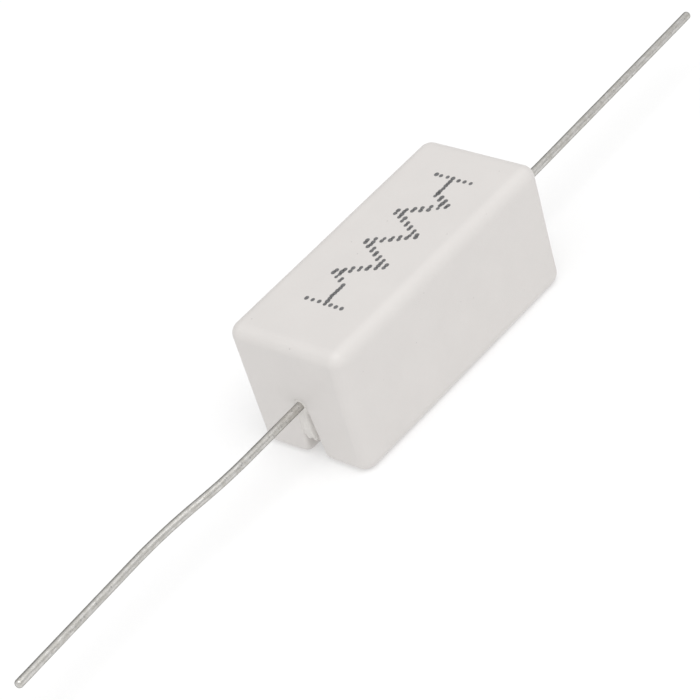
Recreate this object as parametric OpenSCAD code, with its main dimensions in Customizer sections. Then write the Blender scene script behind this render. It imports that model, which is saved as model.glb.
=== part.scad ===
/* [Ceramic case] */
// Length of the case, along the leads
case_l = 22; // [20:0.5:30]
// Width of the case at its closed top
case_w = 9.6; // [9:0.1:13]
// Height of the case, from the rim that it rests on to the closed top
case_h = 9.8; // [9.4:0.1:13]
// Wall of the two long sides, at the closed top
side_wall = 1.8; // [1.2:0.1:2.1]
// Wall of the two slotted ends, at the closed top
end_wall = 1.7; // [1.2:0.1:2.4]
// Thickness of the closed top
top_wall = 1.7; // [1.2:0.1:2.4]
// Slope of the long sides, which draw in towards the rim, in degrees
side_draft = 1.3; // [0:0.1:1.5]
// Slope of the ends, which draw in towards the rim, in degrees
end_draft = 0.2; // [0:0.1:1.5]
// Slope of the trough's own walls, which open towards the rim, in degrees
trough_draft = 0.8; // [0:0.1:1]
// Radius of the four upright edges at the closed top
corner_r = 0.95; // [0.9:0.05:1.6]
// Radius of the four upright edges at the rim
rim_corner_r = 1.1; // [0.9:0.05:1.6]
// Radius of the edges round the closed top
top_edge_r = 0.9; // [0.3:0.05:0.9]
// Radius of the outer edge of the rim
rim_edge_r = 0.85; // [0.2:0.05:0.9]
// Radius of the fillets inside the trough
trough_r = 0.7; // [0.3:0.05:0.9]

/* [Lead slots] */
// How far the leads and the rod lie below the middle of the cement's height
lead_drop = 0.075; // [0:0.025:0.3]
// Width of the slots where the leads lie, at their round tops
slot_w = 0.9; // [0.9:0.05:1.3]
// Width of the slots at the rim, without their flares
slot_mouth_w = 1.45; // [1.3:0.05:2]
// Radius of the flare at each side of a slot's mouth
slot_flare_r = 0.6; // [0.3:0.05:1.1]
// How far the near slot, and the lead in it, stand off the middle of their end
slot_shift = 0.15; // [0:0.05:0.35]

/* [Cement] */
// How far the cement lies inside the rim, along the trough's walls
cement_recess = 1.2; // [0.6:0.05:1.5]
// How much deeper the set cement is along the middle
cement_dish = 0.25; // [0.1:0.05:0.4]
// How far the cement stands back from the outer face in each slot
slot_recess = 0.15; // [0.1:0.05:0.8]
// Cement between each end cap and the end wall
end_cover = 2; // [0.8:0.1:3]
// Cement all round the end caps, where the trough leaves the least room
side_cover = 0.7; // [0.5:0.05:1]

/* [Wound rod] */
// Chamfer at the rod's ends
rod_chamfer = 0.2; // [0.1:0.05:0.3]
// Wall of the end caps
cap_wall = 0.3; // [0.2:0.05:0.35]
// How far each cap reaches over the rod
cap_grip = 3; // [2:0.1:3.5]
// Radius of the drawn outer corner of each cap
cap_corner_r = 0.4; // [0.4:0.05:0.6]

/* [Winding] */
// Diameter of the resistance wire
wire_d = 0.12; // [0.1:0.01:0.16]
// Distance from turn to turn
pitch = 0.42; // [0.36:0.02:0.6]
// Turns that each end makes on its cap
cap_turns = 1.5; // [1:0.5:3]

/* [Leads] */
// Diameter of the leads
lead_d = 0.6; // [0.5:0.05:0.8]
// Reach of the near lead outside the case, along the wire
near_reach = 27.6; // [24:0.1:38]
// Reach of the far lead outside the case, along the wire
far_reach = 24.3; // [18:0.1:38]
// Radius of the flat that is left on the cut tips, inside their rounding
tip_flat_r = 0.05; // [0.02:0.01:0.2]
// Diameter of the weld that joins each lead to its cap
weld_d = 1.1; // [0.9:0.05:1.4]
// Length of that weld
weld_l = 0.35; // [0.2:0.05:0.5]

/* [Bends left in the leads] */
// Near lead: straight length between the case and its first bend
near_first = 0.6; // [0.3:0.1:3]
// Near lead: angle of the first bend, in degrees
near_bend_1 = 0.4; // [0:0.1:5]
// Near lead: straight length between its first two bends
near_second = 7.1; // [4:0.1:8]
// Near lead: angle of the second bend, in degrees
near_bend_2 = 5.4; // [0:0.1:8]
// Near lead: straight length between its last two bends
near_third = 5.1; // [3:0.1:8]
// Near lead: angle of the third bend, back the other way, in degrees
near_bend_3 = 7.4; // [0:0.1:10]
// Far lead: straight length between the case and its bend
far_first = 5; // [1:0.1:8]
// Far lead: angle of its bend, in degrees
far_bend = 0.7; // [0:0.1:4]
// Radius of the bends, at the middle of the wire
bend_r = 6; // [3:0.5:12]

/* [Hidden] */

// Clearance between the cement and what it is cast against
cast_gap = 0.01;
// Clearance between the wire and what it is wound on
wind_gap = 0.005;
// How far a cutting shape runs past the wall that it opens
overcut = 1;
// Wire lost from the radius of a lead where it is bent
bend_thinning = 0.002;
// How far a bend runs on into the straight lengths on both sides, in degrees
bend_lap = 0.5;
// Steps round a curve, and round the curves that are hulled together
$fn = 64;
hull_fn = 32;
// Straight steps in each turn of the winding, and flats round its wire
turn_steps = 18;
wire_sides = 6;

lead_r = lead_d / 2;
wire_r = wire_d / 2;
weld_r = weld_d / 2;
slot_r = slot_w / 2;

// The trough's half width and its closed top, the lowest cement along its middle,
// and the height of the leads and of the rod between the two
trough_half_w = case_w / 2 - side_wall;
trough_top = case_h - top_wall;
cement_level = cement_recess + cement_dish;
lead_z = (cement_level + trough_top) / 2 - lead_drop;

// The caps fill the trough but for the cement round them, and the rod fills the caps
cap_r = min(trough_half_w, (trough_top - cement_level) / 2) - side_cover;
rod_r = cap_r - cap_wall;

// How far the rod is turned, because it lies in line with both slots
rod_yaw = atan(slot_shift / case_l);

// The wound rod, from the middle of the case to the rod's end, to the outer face
// of the cap, and to the cap's mouth
rod_end_x = case_l / 2 - end_wall - end_cover - cap_wall;
cap_end_x = rod_end_x + cap_wall;
cap_mouth_x = rod_end_x - cap_grip;

// The radius of the wire's middle, on the rod and on the caps. The straight steps
// of a turn cut inside its circle, so the circle is that much larger.
step_loss = cos(180 / turn_steps);
wind_rod_r = (rod_r + wind_gap) / step_loss + wire_r;
wind_cap_r = (cap_r + wind_gap) / step_loss + wire_r;
// The wire leaves the cap just clear of its mouth and drops to the rod from there
drop_x = cap_mouth_x - wire_r - cast_gap;
drop_l = pitch / 4;
wind_half = cap_mouth_x + cap_turns * pitch;
wind_steps = round(2 * wind_half / pitch * turn_steps);

// A block with drafted sides and round edges. l and w are its size at the top, and
// drafts are the slopes of its ends and of its long sides. The radii of its upright
// edges, and those of its other edges, are given for the top and for the bottom.
module drafted_block(l, w, bottom, top, drafts, corner_radii, edge_radii) {
    hull() {
        corner_rings(l, w, top, top - edge_radii[0], drafts, corner_radii[0], edge_radii[0]);
        corner_rings(l, w, top, bottom + edge_radii[1], drafts, corner_radii[1], edge_radii[1]);
    }
}

// One ring for each corner at height z: plan_r rounds the block seen from above,
// and edge_r rounds its edges
module corner_rings(l, w, top, z, drafts, plan_r, edge_r) {
    half_l = l / 2 - (top - z) * tan(drafts[0]) - plan_r;
    half_w = w / 2 - (top - z) * tan(drafts[1]) - plan_r;
    for (sx = [-1, 1], sy = [-1, 1])
        translate([sx * half_l, sy * half_w, z])
            rotate_extrude($fn = hull_fn)
                translate([plan_r - edge_r, 0])
                    half_disc(edge_r);
}

module half_disc(r) {
    intersection() {
        circle(r, $fn = hull_fn);
        translate([0, -r])
            square([r, 2 * r]);
    }
}

// The space inside the trough, smaller by gap on every side. It runs on past the rim.
module trough_space(gap) {
    drafted_block(
        case_l - 2 * (end_wall + gap), case_w - 2 * (side_wall + gap),
        -overcut, trough_top - gap, [-trough_draft, -trough_draft],
        [trough_r, trough_r], [trough_r, trough_r]
    );
}

// The slot in an end wall, seen along the lead: a round top over the lead, and
// straight sides that open towards the rim
module slot_outline(gap) {
    half_top = slot_r - gap;
    half_mouth = slot_mouth_w / 2 - gap;
    translate([0, lead_z])
        circle(half_top);
    polygon([
        [-half_mouth, -overcut],
        [half_mouth, -overcut],
        [half_mouth, 0],
        [half_top, lead_z],
        [-half_top, lead_z],
        [-half_mouth, 0],
    ]);
}

// The flares that round off both sides of the slot's mouth
module slot_flares() {
    half_w = slot_mouth_w / 2 + slot_flare_r;
    difference() {
        translate([-half_w, -overcut])
            square([2 * half_w, overcut + slot_flare_r]);
        for (s = [-1, 1])
            translate([s * half_w, slot_flare_r])
                circle(slot_flare_r);
    }
}

// Stands an outline up across the case and runs it along X for l, about the middle
module along_x(l) {
    translate([-l / 2, 0, 0])
        rotate([90, 0, 90])
            linear_extrude(l)
                children();
}

// Runs an outline from the middle of the case out along each slot, for l
module at_slots(l) {
    for (side = [-1, 1])
        translate([side * l / 2, side < 0 ? -slot_shift : 0, 0])
            along_x(l)
                children();
}

// Lays what is made along X on the axis of the rod, which runs from slot to slot
module on_rod_axis() {
    translate([0, -slot_shift / 2, 0])
        rotate([0, 0, rod_yaw])
            children();
}

module ceramic_case() {
    color("gainsboro")
        difference() {
            drafted_block(
                case_l, case_w, 0, case_h, [end_draft, side_draft],
                [corner_r, rim_corner_r], [top_edge_r, rim_edge_r]
            );
            trough_space(0);
            at_slots(case_l / 2 + overcut) {
                slot_outline(0);
                slot_flares();
            }
        }
}

// The cement: the trough filled up to a hollow surface, with a tongue in each slot,
// cast round the wound rod and the roots of the leads
module cement_fill() {
    color("lightgray")
        difference() {
            intersection() {
                union() {
                    trough_space(cast_gap);
                    cement_tongues();
                }
                above_cement_level();
            }
            on_rod_axis() {
                element_space();
                mirror([1, 0, 0])
                    element_space();
            }
        }
}

// The tongues stand back from the outer faces by slot_recess, beside the lead
module cement_tongues() {
    face_x = case_l / 2 - (case_h - lead_z) * tan(end_draft);
    at_slots(face_x - slot_recess)
        slot_outline(cast_gap);
}

// The set surface is a shallow arc across the trough, from wall to wall
module above_cement_level() {
    arc_r = (trough_half_w * trough_half_w + cement_dish * cement_dish) / (2 * cement_dish);
    difference() {
        translate([-case_l / 2, -case_w / 2, cement_recess])
            cube([case_l, case_w, case_h]);
        along_x(case_l + 2 * overcut)
            translate([0, cement_level - arc_r])
                circle(arc_r, $fn = 180);
    }
}

// Turns a shape's own Z axis along +X, onto the axis of the leads, starting at x
module at_lead(x) {
    translate([x, 0, lead_z])
        rotate([0, 90, 0])
            children();
}

// What the cement is cast round on one side of the middle, as one turned shape:
// the winding, the cap with its wire, the weld and the lead
module element_space() {
    wire_clear = wire_r + cast_gap;
    cap_wire_x = drop_x - drop_l - wire_clear;
    at_lead(0)
        rotate_extrude() {
            translate([0, -overcut])
                square([wind_rod_r + wire_clear, overcut + cap_mouth_x]);
            translate([0, cap_wire_x])
                square([wind_cap_r + wire_clear, wind_half + wire_clear - cap_wire_x]);
            translate([0, cap_mouth_x])
                cup_outline(
                    cap_r + cast_gap,
                    cap_end_x + cast_gap - cap_mouth_x,
                    cap_corner_r + cast_gap
                );
            translate([0, cap_end_x])
                lead_root_outline(cast_gap, case_l / 2 - cap_end_x + overcut);
        }
}

// The root of a lead, in section: the weld on the cap, then the wire up to length l
module lead_root_outline(gap, l) {
    polygon([
        [0, 0],
        [weld_r + gap, 0],
        [lead_r + gap, weld_l + gap],
        [lead_r + gap, l],
        [0, l],
    ]);
}

// A rod or cup in section, of radius r and height h, with a round outer edge
module cup_outline(r, h, round_r) {
    square([r - round_r, h]);
    square([r, h - round_r]);
    translate([r - round_r, h - round_r])
        intersection() {
            circle(round_r);
            square(round_r);
        }
}

module core_rod() {
    inner_r = rod_r - rod_chamfer;
    rod_l = 2 * rod_end_x;
    color("ivory")
        on_rod_axis()
            at_lead(-rod_end_x)
                rotate_extrude()
                    polygon([
                        [0, 0],
                        [inner_r, 0],
                        [rod_r, rod_chamfer],
                        [rod_r, rod_l - rod_chamfer],
                        [inner_r, rod_l],
                        [0, rod_l],
                    ]);
}

// A drawn cup, its mouth towards the middle of the rod
module end_cap() {
    at_lead(cap_mouth_x)
        rotate_extrude()
            difference() {
                cup_outline(cap_r, cap_grip + cap_wall, cap_corner_r);
                translate([0, -overcut])
                    cup_outline(rod_r, overcut + cap_grip, cap_corner_r - cap_wall);
            }
}

module end_cap_left() {
    color("silver")
        on_rod_axis()
            rotate([0, 0, 180])
                end_cap();
}

module end_cap_right() {
    color("silver")
        on_rod_axis()
            end_cap();
}

// The winding is one wire: it starts on the left cap, drops to the rod past the
// cap's mouth, and climbs the right cap in the same way
module resistance_wire() {
    last = wind_steps * wire_sides;
    color("darkgoldenrod")
        on_rod_axis()
            polyhedron(
                points = [for (i = [0 : wind_steps]) each wire_ring(i)],
                faces = [
                    [for (j = [wire_sides - 1 : -1 : 0]) j],
                    for (i = [0 : wind_steps - 1]) each ring_faces(i * wire_sides),
                    [for (j = [0 : wire_sides - 1]) last + j],
                ]
            );
}

function ease(t) = let (u = min(1, max(0, t))) u * u * (3 - 2 * u);

function wire_radius(x) =
    wind_rod_r + (wind_cap_r - wind_rod_r) * ease(1 + (abs(x) - drop_x) / drop_l);

function wire_ring(i) =
    let (
        x = -wind_half + i * pitch / turn_steps,
        turn = i * 360 / turn_steps
    )
    [
        for (j = [0 : wire_sides - 1])
            let (a = j * 360 / wire_sides, r = wire_radius(x) + wire_r * cos(a))
            [x + wire_r * sin(a), r * cos(turn), lead_z + r * sin(turn)]
    ];

function ring_faces(a) = [
    for (j = [0 : wire_sides - 1])
        let (k = (j + 1) % wire_sides, b = a + wire_sides)
        each [[a + j, a + k, b + k], [a + j, b + k, b + j]]
];

// A lead's weld and first straight length. What follows is placed at its end.
module lead_root(first) {
    at_lead(cap_end_x)
        rotate_extrude()
            lead_root_outline(0, case_l / 2 - cap_end_x + first);
    translate([case_l / 2 + first, 0, lead_z])
        children();
}

// A level bend from the origin along +X: a positive angle turns towards +Y.
// What follows the bend is placed at its end.
module bend(angle) {
    turn = abs(angle);
    flip = [0, angle < 0 ? 1 : 0, 0];
    mirror(flip) {
        if (turn > 0)
            translate([0, bend_r, 0])
                rotate([0, 0, -90 - bend_lap])
                    rotate_extrude(angle = turn + 2 * bend_lap, $fn = 180)
                        translate([bend_r, 0])
                            circle(lead_r - bend_thinning);
        translate([bend_r * sin(turn), bend_r * (1 - cos(turn)), 0])
            rotate([0, 0, turn])
                mirror(flip)
                    children();
    }
}

module straight(l) {
    rotate([0, 90, 0])
        cylinder(r = lead_r, h = l);
    translate([l, 0, 0])
        children();
}

// The last straight length, with its cut end slightly round
module tip(l) {
    rotate([0, 90, 0])
        rotate_extrude()
            cup_outline(lead_r, l, lead_r - tip_flat_r);
}

function bend_l(angle) = bend_r * abs(angle) * PI / 180;

module lead_left() {
    bent = bend_l(near_bend_1) + bend_l(near_bend_2) + bend_l(near_bend_3);
    last = near_reach - near_first - near_second - near_third - bent;
    color("silver")
        on_rod_axis()
            rotate([0, 0, 180])
                lead_root(near_first)
                    bend(-near_bend_1)
                        straight(near_second)
                            bend(-near_bend_2)
                                straight(near_third)
                                    bend(near_bend_3)
                                        tip(last);
}

module lead_right() {
    last = far_reach - far_first - bend_l(far_bend);
    color("silver")
        on_rod_axis()
            lead_root(far_first)
                bend(far_bend)
                    tip(last);
}

ceramic_case();
cement_fill();
core_rod();
resistance_wire();
end_cap_left();
end_cap_right();
lead_left();
lead_right();
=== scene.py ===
import math

import bpy
from bpy.props import FloatProperty, FloatVectorProperty, IntProperty, PointerProperty
from bpy.types import Operator, Panel, PropertyGroup
from mathutils import Matrix, Vector, noise
from mathutils.bvhtree import BVHTree


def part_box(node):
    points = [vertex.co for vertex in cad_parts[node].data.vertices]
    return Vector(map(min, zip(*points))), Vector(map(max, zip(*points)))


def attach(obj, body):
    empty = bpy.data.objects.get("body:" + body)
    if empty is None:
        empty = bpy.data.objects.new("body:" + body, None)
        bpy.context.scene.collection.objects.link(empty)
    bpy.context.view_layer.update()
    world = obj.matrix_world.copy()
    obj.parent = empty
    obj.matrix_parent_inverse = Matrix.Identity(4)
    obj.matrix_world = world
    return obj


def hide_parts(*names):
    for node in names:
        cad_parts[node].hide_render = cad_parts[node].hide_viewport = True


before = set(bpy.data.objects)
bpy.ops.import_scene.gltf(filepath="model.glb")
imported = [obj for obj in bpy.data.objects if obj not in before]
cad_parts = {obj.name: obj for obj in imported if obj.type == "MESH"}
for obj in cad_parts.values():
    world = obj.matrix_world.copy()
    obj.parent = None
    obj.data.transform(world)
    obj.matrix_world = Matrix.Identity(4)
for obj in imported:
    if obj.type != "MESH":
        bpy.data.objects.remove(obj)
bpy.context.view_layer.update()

bl_info = {
    "name": "Ceramic power resistor",
    "version": (1, 0, 0),
    "blender": (4, 5, 0),
    "location": "View3D > Sidebar > Resistor",
    "description": "Dresses the resistor's frame with its ceramic, cement, tinned leads and ink",
    "category": "Object",
}

MM = 0.001
BODY = "root"
CASE_LOW, CASE_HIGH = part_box("ceramic_case")
CAP_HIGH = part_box("end_cap_right")[1]

# Mesh lines on rounded forms, as angles: from flat to mitre on an edge, from the middle of
# a slot's round top to its corner, up the flare of a slot's mouth, and round a lead's tip
EDGE_ANGLES = [math.radians(a) for a in (0, 7.5, 15, 22.5, 30, 37.5, 45)]
SLOT_ANGLES = [math.radians(a) for a in (0, 11.25, 22.5, 33.75, 45)]
FLARE_ANGLES = [math.radians(a) for a in (60, 75)]
TIP_ANGLES = [math.radians(a) for a in range(0, 91, 15)]
# Mesh lines at a corner of the trough, as shares of its radius
CORNER_SHARES = (1, 0.6, 0.25, 0)
# Length over which a slot's taper and shift fade out inside the trough
SLOT_BLEND = 1 * MM

# Finer waves and lumps lie on the broad ones. Their size is this share of the broad ones,
# and so is their height on the case's faces and on the cement.
FINE_SIZE = 0.4
FINE_WAVE_HEIGHT = 0.4
FINE_LUMP_HEIGHT = 0.6

# Seed of the noise that bends the case's faces and moves the ink dots. It is fixed, and
# not 0, because they would otherwise change from run to run.
NOISE_SEED = 7

# The mesh of an ink dot: its circles, as shares of its size, and its spokes
DOT_CIRCLES = (0.55, 0.8, 1.0)
DOT_SPOKES = 18
# How fast the noise that moves and sizes the dots changes from dot to dot and from row to
# row, and its third coordinate
DOT_NOISE = (1.7, 2.3, 0.5)

# Colour of dull oxide as a share of the bright metal's, in red, green and blue
OXIDE_TINT = (0.74, 0.73, 0.69)


# Sizes and colours that a user would change

class CaseSettings(PropertyGroup):
    """The pressed ceramic case"""
    size: FloatVectorProperty(
        name="Size", description="Length, width and height of the case",
        default=CASE_HIGH - CASE_LOW, unit="LENGTH", subtype="XYZ")
    side_wall: FloatProperty(
        name="Side wall", description="Wall of the two long sides",
        default=1.8 * MM, unit="LENGTH")
    end_wall: FloatProperty(
        name="End wall", description="Wall of the two slotted ends",
        default=1.7 * MM, unit="LENGTH")
    top_wall: FloatProperty(
        name="Top wall", description="Thickness of the closed top",
        default=1.7 * MM, unit="LENGTH")
    corner_radius: FloatProperty(
        name="Corner radius", description="Radius of the four upright edges at the closed top",
        default=0.95 * MM, unit="LENGTH")
    rim_corner_radius: FloatProperty(
        name="Rim corner radius", description="Radius of the four upright edges at the rim",
        default=1.1 * MM, unit="LENGTH")
    top_edge_radius: FloatProperty(
        name="Top edge radius", description="Radius of the edges round the closed top",
        default=0.9 * MM, unit="LENGTH")
    rim_edge_radius: FloatProperty(
        name="Rim edge radius", description="Radius of the outer edge of the rim",
        default=0.85 * MM, unit="LENGTH")
    trough_radius: FloatProperty(
        name="Trough radius", description="Radius of the trough's upright corners",
        default=0.7 * MM, unit="LENGTH")
    side_draft: FloatProperty(
        name="Side draft", description="Slope of the long sides, which draw in towards the rim",
        default=math.radians(1.3), unit="ROTATION")
    end_draft: FloatProperty(
        name="End draft", description="Slope of the ends, which draw in towards the rim",
        default=math.radians(0.2), unit="ROTATION")
    trough_draft: FloatProperty(
        name="Trough draft", description="Slope of the trough's walls, which open to the rim",
        default=math.radians(0.8), unit="ROTATION")
    slot_edge_radius: FloatProperty(
        name="Slot edge radius", description="Radius of the slots' upright edges at the rim",
        default=0.36 * MM, unit="LENGTH")
    softness: FloatProperty(
        name="Edge softness", description="How wide the small edges of slots and rim are worn",
        default=0.12 * MM, unit="LENGTH")
    step: FloatProperty(
        name="Mesh step", description="Distance between the mesh lines of the flat faces",
        default=0.8 * MM, unit="LENGTH")
    unevenness: FloatProperty(
        name="Unevenness", description="How far the pressed faces stray from flat",
        default=0.012 * MM, unit="LENGTH")
    wave_size: FloatProperty(
        name="Wave size", description="Distance from one shallow wave of a face to the next",
        default=4 * MM, unit="LENGTH")
    colour: FloatVectorProperty(
        name="Ceramic colour", description="Colour of the fired ceramic",
        default=(0.684, 0.658, 0.638), min=0, max=1, subtype="COLOR")


class SlotSettings(PropertyGroup):
    """The slots that the leads come out of"""
    lead_height: FloatProperty(
        name="Lead height", description="Height of the leads above the rim",
        default=4.7 * MM, unit="LENGTH")
    width: FloatProperty(
        name="Slot width", description="Width of the slot where the lead lies",
        default=0.9 * MM, unit="LENGTH")
    mouth_width: FloatProperty(
        name="Mouth width", description="Width of the slot at the rim, without its flares",
        default=1.45 * MM, unit="LENGTH")
    flare_radius: FloatProperty(
        name="Flare radius", description="Radius of the flare at each side of the mouth",
        default=0.6 * MM, unit="LENGTH")
    near_shift: FloatProperty(
        name="Near shift", description="How far the near slot stands off the middle",
        default=0.15 * MM, unit="LENGTH")


class CementSettings(PropertyGroup):
    """The cement that fills the trough and the slots"""
    recess: FloatProperty(
        name="Recess", description="How far the cement lies inside the rim, at the walls",
        default=1.2 * MM, unit="LENGTH")
    dish: FloatProperty(
        name="Dish", description="How much deeper the cement is along the middle",
        default=0.25 * MM, unit="LENGTH")
    slot_bulge: FloatProperty(
        name="Slot bulge", description="How far the cement stands out round each lead",
        default=0.02 * MM, unit="LENGTH")
    foot_recess: FloatProperty(
        name="Foot recess", description="How far back it stands at the slot's foot",
        default=0.28 * MM, unit="LENGTH")
    foot_start: FloatProperty(
        name="Foot start", description="Where the foot starts, on the way from lead to rim",
        default=0.58, min=0, max=0.95, subtype="FACTOR")
    groove_depth: FloatProperty(
        name="Groove depth", description="Depth of the groove that shrinking left on the -Y side",
        default=0.9 * MM, unit="LENGTH")
    groove_start: FloatProperty(
        name="Groove start", description="Where the groove starts, from the slot's middle out",
        default=0.2, min=0, max=0.95, subtype="FACTOR")
    groove_whole: FloatProperty(
        name="Groove whole", description="Where it is fully open, on the way from lead to rim",
        default=0.33, min=0.05, max=1, subtype="FACTOR")
    overlap: FloatProperty(
        name="Overlap", description="How far the cement reaches into the ceramic round it",
        default=0.25 * MM, unit="LENGTH")
    step: FloatProperty(
        name="Mesh step", description="Distance between the mesh lines of the set surface",
        default=0.24 * MM, unit="LENGTH")
    tongue_step: FloatProperty(
        name="Tongue step", description="Distance between the mesh lines in the slots",
        default=0.07 * MM, unit="LENGTH")
    crust: FloatProperty(
        name="Crust", description="How deep the unevenness of the set surface reaches",
        default=1.4 * MM, unit="LENGTH")
    roughness: FloatProperty(
        name="Relief", description="Height of the lumps on the set surface",
        default=0.07 * MM, unit="LENGTH")
    lump_size: FloatProperty(
        name="Lump size", description="Distance from lump to lump",
        default=0.9 * MM, unit="LENGTH")
    crumb_size: FloatProperty(
        name="Crumb size", description="Distance from crumb to crumb at the slot's foot",
        default=0.22 * MM, unit="LENGTH")
    colour: FloatVectorProperty(
        name="Cement colour", description="Colour of the set cement",
        default=(0.74, 0.718, 0.69), min=0, max=1, subtype="COLOR")


class LeadSettings(PropertyGroup):
    """The two tinned leads"""
    diameter: FloatProperty(
        name="Diameter", description="Diameter of the wire",
        default=0.6 * MM, unit="LENGTH")
    tip_radius: FloatProperty(
        name="Tip radius", description="Rounding of the cut tips",
        default=0.25 * MM, unit="LENGTH")
    weld_diameter: FloatProperty(
        name="Weld diameter", description="Diameter of the weld on the end cap",
        default=1.1 * MM, unit="LENGTH")
    weld_length: FloatProperty(
        name="Weld length", description="Length of the weld on the end cap",
        default=0.35 * MM, unit="LENGTH")
    bend_radius: FloatProperty(
        name="Bend radius", description="Radius of the slight bends left in the wire",
        default=39.5 * MM, unit="LENGTH")
    near_reach: FloatProperty(
        name="Near reach", description="Length of the near lead outside the case",
        default=27.6 * MM, unit="LENGTH")
    far_reach: FloatProperty(
        name="Far reach", description="Length of the far lead outside the case",
        default=24.3 * MM, unit="LENGTH")
    near_lengths: FloatVectorProperty(
        name="Near lengths", description="From the case to the near lead's bends, were they sharp",
        default=(7.44 * MM, 6.1 * MM), size=2, unit="LENGTH")
    near_bends: FloatVectorProperty(
        name="Near bends", description="The bends of the near lead, seen from above",
        default=[math.radians(a) for a in (-6.12, 7.89)], size=2, unit="ROTATION")
    far_length: FloatProperty(
        name="Far length", description="From the case to the far lead's bend, were it sharp",
        default=5.04 * MM, unit="LENGTH")
    far_bend: FloatProperty(
        name="Far bend", description="The bend of the far lead, seen from above",
        default=math.radians(0.7), unit="ROTATION")
    unevenness: FloatProperty(
        name="Unevenness", description="How far the tin coat strays from round",
        default=0.006 * MM, unit="LENGTH")
    wave_size: FloatProperty(
        name="Wave size", description="Distance from wave to wave round the tin coat",
        default=0.35 * MM, unit="LENGTH")
    wave_stretch: FloatProperty(
        name="Wave stretch", description="How many times longer those waves are than wide",
        default=3.0, min=1)
    ring_step: FloatProperty(
        name="Ring step", description="Distance between the rings of the mesh",
        default=0.3 * MM, unit="LENGTH")
    sides: IntProperty(
        name="Sides", description="Flats round the wire in the mesh", default=28, min=12)
    colour: FloatVectorProperty(
        name="Tin colour", description="Colour of the tin coat",
        default=(0.652, 0.64, 0.618), min=0, max=1, subtype="COLOR")


class InkSettings(PropertyGroup):
    """The ink dots printed on the closed top"""
    start: FloatVectorProperty(
        name="Start", description="Where the first column and the first row of dots lie",
        default=(-6.5 * MM, 1.22 * MM), size=2, unit="LENGTH", subtype="XYZ")
    column_pitch: FloatProperty(
        name="Column pitch", description="Distance between dots along the case",
        default=0.28 * MM, unit="LENGTH")
    row_pitch: FloatProperty(
        name="Row pitch", description="Distance between the rows of dots",
        default=0.495 * MM, unit="LENGTH")
    dot_size: FloatVectorProperty(
        name="Dot size", description="Length and width of a dot",
        default=(0.46 * MM, 0.38 * MM), size=2, unit="LENGTH", subtype="XYZ")
    slant: FloatProperty(
        name="Slant", description="How far each dot leans",
        default=math.radians(15), unit="ROTATION")
    wander: FloatProperty(
        name="Wander", description="How far a dot may stray from its place",
        default=0.09 * MM, unit="LENGTH")
    size_spread: FloatProperty(
        name="Size spread", description="How much the dots differ in size",
        default=0.3, min=0, max=0.6, subtype="FACTOR")
    height: FloatProperty(
        name="Ink height", description="Thickness of the dried ink",
        default=0.006 * MM, unit="LENGTH")
    colour: FloatVectorProperty(
        name="Ink colour", description="Colour of the ink",
        default=(0.11, 0.11, 0.112), min=0, max=1, subtype="COLOR")


class InnerSettings(PropertyGroup):
    """The wound rod with its wire and its end caps"""
    rod_colour: FloatVectorProperty(
        name="Rod colour", description="Colour of the ceramic rod",
        default=(0.85, 0.83, 0.78), min=0, max=1, subtype="COLOR")
    wire_colour: FloatVectorProperty(
        name="Wire colour", description="Colour of the resistance wire",
        default=(0.42, 0.38, 0.33), min=0, max=1, subtype="COLOR")
    cap_colour: FloatVectorProperty(
        name="Cap colour", description="Colour of the plated end caps",
        default=(0.7, 0.7, 0.69), min=0, max=1, subtype="COLOR")


class StageSettings(PropertyGroup):
    """Floor, light and camera"""
    look_at: FloatVectorProperty(
        name="Look at", description="The point in the middle of the picture",
        default=(-4.257 * MM, 1.358 * MM, 3.64 * MM), unit="LENGTH", subtype="TRANSLATION")
    distance: FloatProperty(
        name="Distance", description="Distance from that point to the camera",
        default=205.887 * MM, unit="LENGTH")
    heading: FloatProperty(
        name="Heading", description="Direction in which the camera looks, from +X towards +Y",
        default=math.radians(49.383), unit="ROTATION")
    tilt: FloatProperty(
        name="Tilt", description="How far the camera looks down",
        default=math.radians(36.573), unit="ROTATION")
    roll: FloatProperty(
        name="Roll", description="How far the camera is turned about its own axis",
        default=math.radians(-17.611), unit="ROTATION")
    lens: FloatProperty(
        name="Lens", description="Focal length of the camera's lens",
        default=160.36, unit="CAMERA")
    film_width: FloatProperty(
        name="Film width", description="Width of the film behind the lens",
        default=36, unit="CAMERA")
    floor_size: FloatProperty(
        name="Floor size", description="Width of the floor",
        default=4.0, unit="LENGTH")
    floor_tone: FloatProperty(
        name="Floor tone", description="How pale the floor is",
        default=0.6, min=0, max=1)
    floor_glow: FloatProperty(
        name="Floor glow", description="Strength of the light that the floor itself gives",
        default=0.37, min=0)
    sky_low: FloatProperty(
        name="Sky, far side", description="Strength of the studio's light on its dark side",
        default=0.2)
    sky_high: FloatProperty(
        name="Sky, near side", description="Strength of the studio's light on its bright side",
        default=1.0)
    sky_direction: FloatVectorProperty(
        name="Sky direction", description="Where the studio is brightest",
        default=(-0.3, -0.12, 0.95), subtype="DIRECTION")
    dark_direction: FloatVectorProperty(
        name="Dark direction", description="Where the studio has a dark wall",
        default=(0.15, 0.95, 0.25), subtype="DIRECTION")
    dark_level: FloatProperty(
        name="Dark level", description="How much of its light the dark wall still gives",
        default=0.42, min=0, max=1)
    dark_edge: FloatVectorProperty(
        name="Dark edge", description="How near to its direction the wall starts, and is full",
        default=(0.75, 0.95), size=2, min=-1, max=1)
    key_power: FloatProperty(
        name="Key power", description="Power of the large soft light",
        default=2.28, unit="POWER")
    key_distance: FloatProperty(
        name="Key distance", description="Distance of the large soft light",
        default=0.8, unit="LENGTH")
    key_size: FloatProperty(
        name="Key size", description="Width of the large soft light",
        default=0.6, unit="LENGTH")
    key_direction: FloatVectorProperty(
        name="Key direction", description="Direction from the resistor to the soft light",
        default=(-0.09, -0.34, 0.94), subtype="DIRECTION")


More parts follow.
